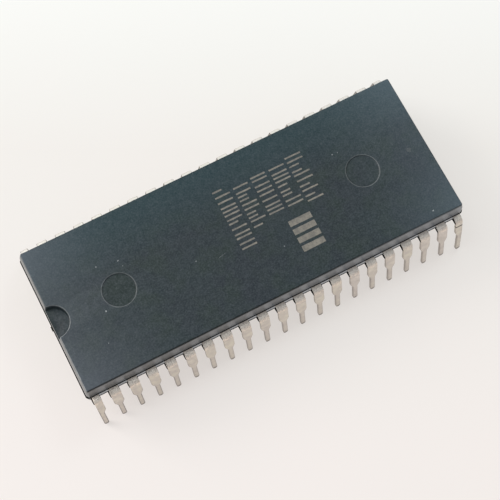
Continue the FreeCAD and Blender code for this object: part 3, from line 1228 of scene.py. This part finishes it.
def silverGlue():
    material, shader, place = newMaterial("silverGlue", Metallic=0.6, Roughness=0.55)
    flakes = blotches(place, **glue["flakes"])
    setInputs(shader, Base_Color=blend(flakes, glue["dark"], glue["light"]))
    bump(shader, flakes, **glue["relief"])
    return material


def siliconDie():
    material, shader, place = newMaterial("siliconDie", Metallic=0.5, Roughness=0.18)
    blocks = addNode(
        place, "TexBrick", {"offset": 0.0}, Vector=place, Scale=1 / mm, Color1=silicon["block"],
        Color2=silicon["otherBlock"], Mortar=silicon["between"], Mortar_Size=silicon["gap"],
        Brick_Width=silicon["blockWidth"], Row_Height=silicon["blockHeight"])
    rows = addNode(
        place, "TexWave", {"bands_direction": "Y"}, Vector=place,
        Scale=silicon["rowsPerMm"] / mm, Distortion=0.0).outputs["Fac"]
    shade = times(rows, silicon["rowShade"])
    colour = blend(shade, blocks.outputs["Color"], silicon["row"])
    setInputs(shader, Base_Color=colour)
    bump(shader, rows, **silicon["relief"])
    return material


def goldWire():
    material, shader, place = newMaterial("goldWire", Metallic=1.0, Roughness=0.22)
    patch = blotches(place, **gold["patch"])
    setInputs(shader, Base_Color=blend(patch, gold["dark"], gold["light"]))
    bump(shader, noise(place, **gold["drawing"]), **gold["relief"])
    return material


def finishInnerPieces():
    finishes = {
        "die_paddle": frameAlloy(),
        "die_glue": silverGlue(),
        "die": siliconDie(),
        "bond_wires": goldWire(),
    }
    for nodeName, material in finishes.items():
        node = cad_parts[nodeName]
        node.data.materials.clear()
        node.data.materials.append(material)
    print("inner pieces finished:", len(finishes))


# floor, light and camera

paper = dict(
    size=900,
    # painted shade and light: the paper darkens from near to far past the object, then whitens
    # into the far corner
    near=(0.94, 0.872, 0.832),
    far=(0.895, 0.862, 0.815),
    corner=(1.0, 1.0, 0.965),
    upTowards=(0.46, 0.89),  # direction on the paper that is up in the picture
    towardsFar=dict(start=-18.0, end=20.0),
    towardsLitCorner=dict(start=10.0, end=36.0),
    cloud=dict(size=30.0, detail=2.0, start=0.3, end=0.7, low=-0.15, high=0.15),
    glow=0.66,
)

room = dict(
    skyline=(0.95, 0.95, 0.93),
    nearSkyline=(0.6, 0.61, 0.61),
    overhead=(0.4, 0.44, 0.48),
    # parts of a direction: towards the far side, and up
    towardsFar=dict(start=-0.6, end=0.4),
    upwards=dict(start=0.0, end=0.75),
    # each soft lamp: place, size, watts and colour
    lamps={
        "windowSoftbox": ((-190, 190, 190), 160, 0.58, (1.0, 0.98, 0.95)),
        "leftSoftbox": ((-75, 82, 280), 90, 0.13, (0.83, 0.95, 1.0)),
        "rightSoftbox": ((150, 95, 250), 90, 0.11, (0.83, 0.96, 1.0)),
    },
)

view = dict(
    position=(-16.572, -31.167, 115.01),
    aim=(-0.038, -1.476, 4.85),
    upTowards=(0.4367, 0.85, 0.2946),
    sensor=36.0,
    focalLength=94.64,
    nearest=5,  # what is nearer or farther isn't drawn
    farthest=10000,
)


def litPaper():
    # pale paper lit a little from below; the rest of its tone still takes the shadow
    material, shader, place = newMaterial("litPaper", Roughness=0.9)
    axes = axesInMm(place)
    parts = [times(axis, part) for axis, part in zip(axes, paper["upTowards"])]
    upwards = maths("ADD", *parts)
    cloud = blotches(place, **paper["cloud"])
    farShadeShare = maths("ADD", remap(upwards, **paper["towardsFar"]), cloud)
    # painted shade towards the far side, painted light in the far corner
    colour = layCoats(paper["near"], (
        (remap(farShadeShare), paper["far"]),
        (remap(upwards, **paper["towardsLitCorner"]), paper["corner"]),
    ))
    setInputs(shader, Base_Color=colour)
    ray = addNode(place, "LightPath").outputs
    seen = maths(
        "MAXIMUM", ray["Is Camera Ray"], ray["Is Glossy Ray"], ray["Is Transmission Ray"])
    glow = addNode(place, "Emission", Color=colour, Strength=1.0)
    mix = addNode(place, "MixShader", Fac=times(seen, paper["glow"]))
    setSocket(mix.inputs[1], shader.outputs["BSDF"])
    setSocket(mix.inputs[2], glow.outputs["Emission"])
    output = material.node_tree.nodes["Material Output"]
    setInputs(output, Surface=mix.outputs["Shader"])
    return material


def buildFloor():
    half = paper["size"] / 2
    bm = newMesh()
    corners = ((-half, -half, 0), (half, -half, 0), (half, half, 0), (-half, half, 0))
    bm.faces.new([bm.verts.new(corner) for corner in corners])
    addMesh("paleFloor", bm, litPaper())


def buildLights():
    world = bpy.data.worlds.new("softRoom")
    scene.world = world
    world.use_nodes = True
    background = world.node_tree.nodes["Background"]
    direction = addNode(background, "TexCoord").outputs["Generated"]
    axes = addNode(background, "SeparateXYZ", Vector=direction).outputs
    towardsFar = remap(axes["Y"], **room["towardsFar"])
    skyline = blend(towardsFar, room["nearSkyline"], room["skyline"])
    upwards = remap(axes["Z"], **room["upwards"])
    colour = blend(upwards, skyline, room["overhead"])
    setInputs(background, Color=colour)
    for name, (place, size, power, colour) in room["lamps"].items():
        lamp = bpy.data.lights.new(name, "AREA")
        lamp.shape = "SQUARE"
        lamp.size = size * mm
        lamp.energy = power
        lamp.color = colour
        holder = addObject(name, lamp)
        holder.location = Vector(place) * mm
        holder.rotation_euler = (-Vector(place)).to_track_quat("-Z", "Y").to_euler()


def buildCamera():
    position = Vector(view["position"]) * mm
    back = (position - Vector(view["aim"]) * mm).normalized()
    right = Vector(view["upTowards"]).cross(back).normalized()
    turned = Matrix((right, back.cross(right), back)).transposed().to_4x4()
    lens = bpy.data.cameras.new("photoCamera")
    lens.sensor_width = view["sensor"]
    lens.lens = view["focalLength"]
    lens.clip_start = view["nearest"] * mm
    lens.clip_end = view["farthest"] * mm
    camera = addObject("photoCamera", lens)
    camera.matrix_world = Matrix.Translation(position) @ turned
    scene.camera = camera


buildBody()
buildLeads()
buildPrint()
buildDust()
finishInnerPieces()
buildFloor()
buildLights()
buildCamera()
scene.view_settings.view_transform = "Standard"
print("floor, light and camera set")
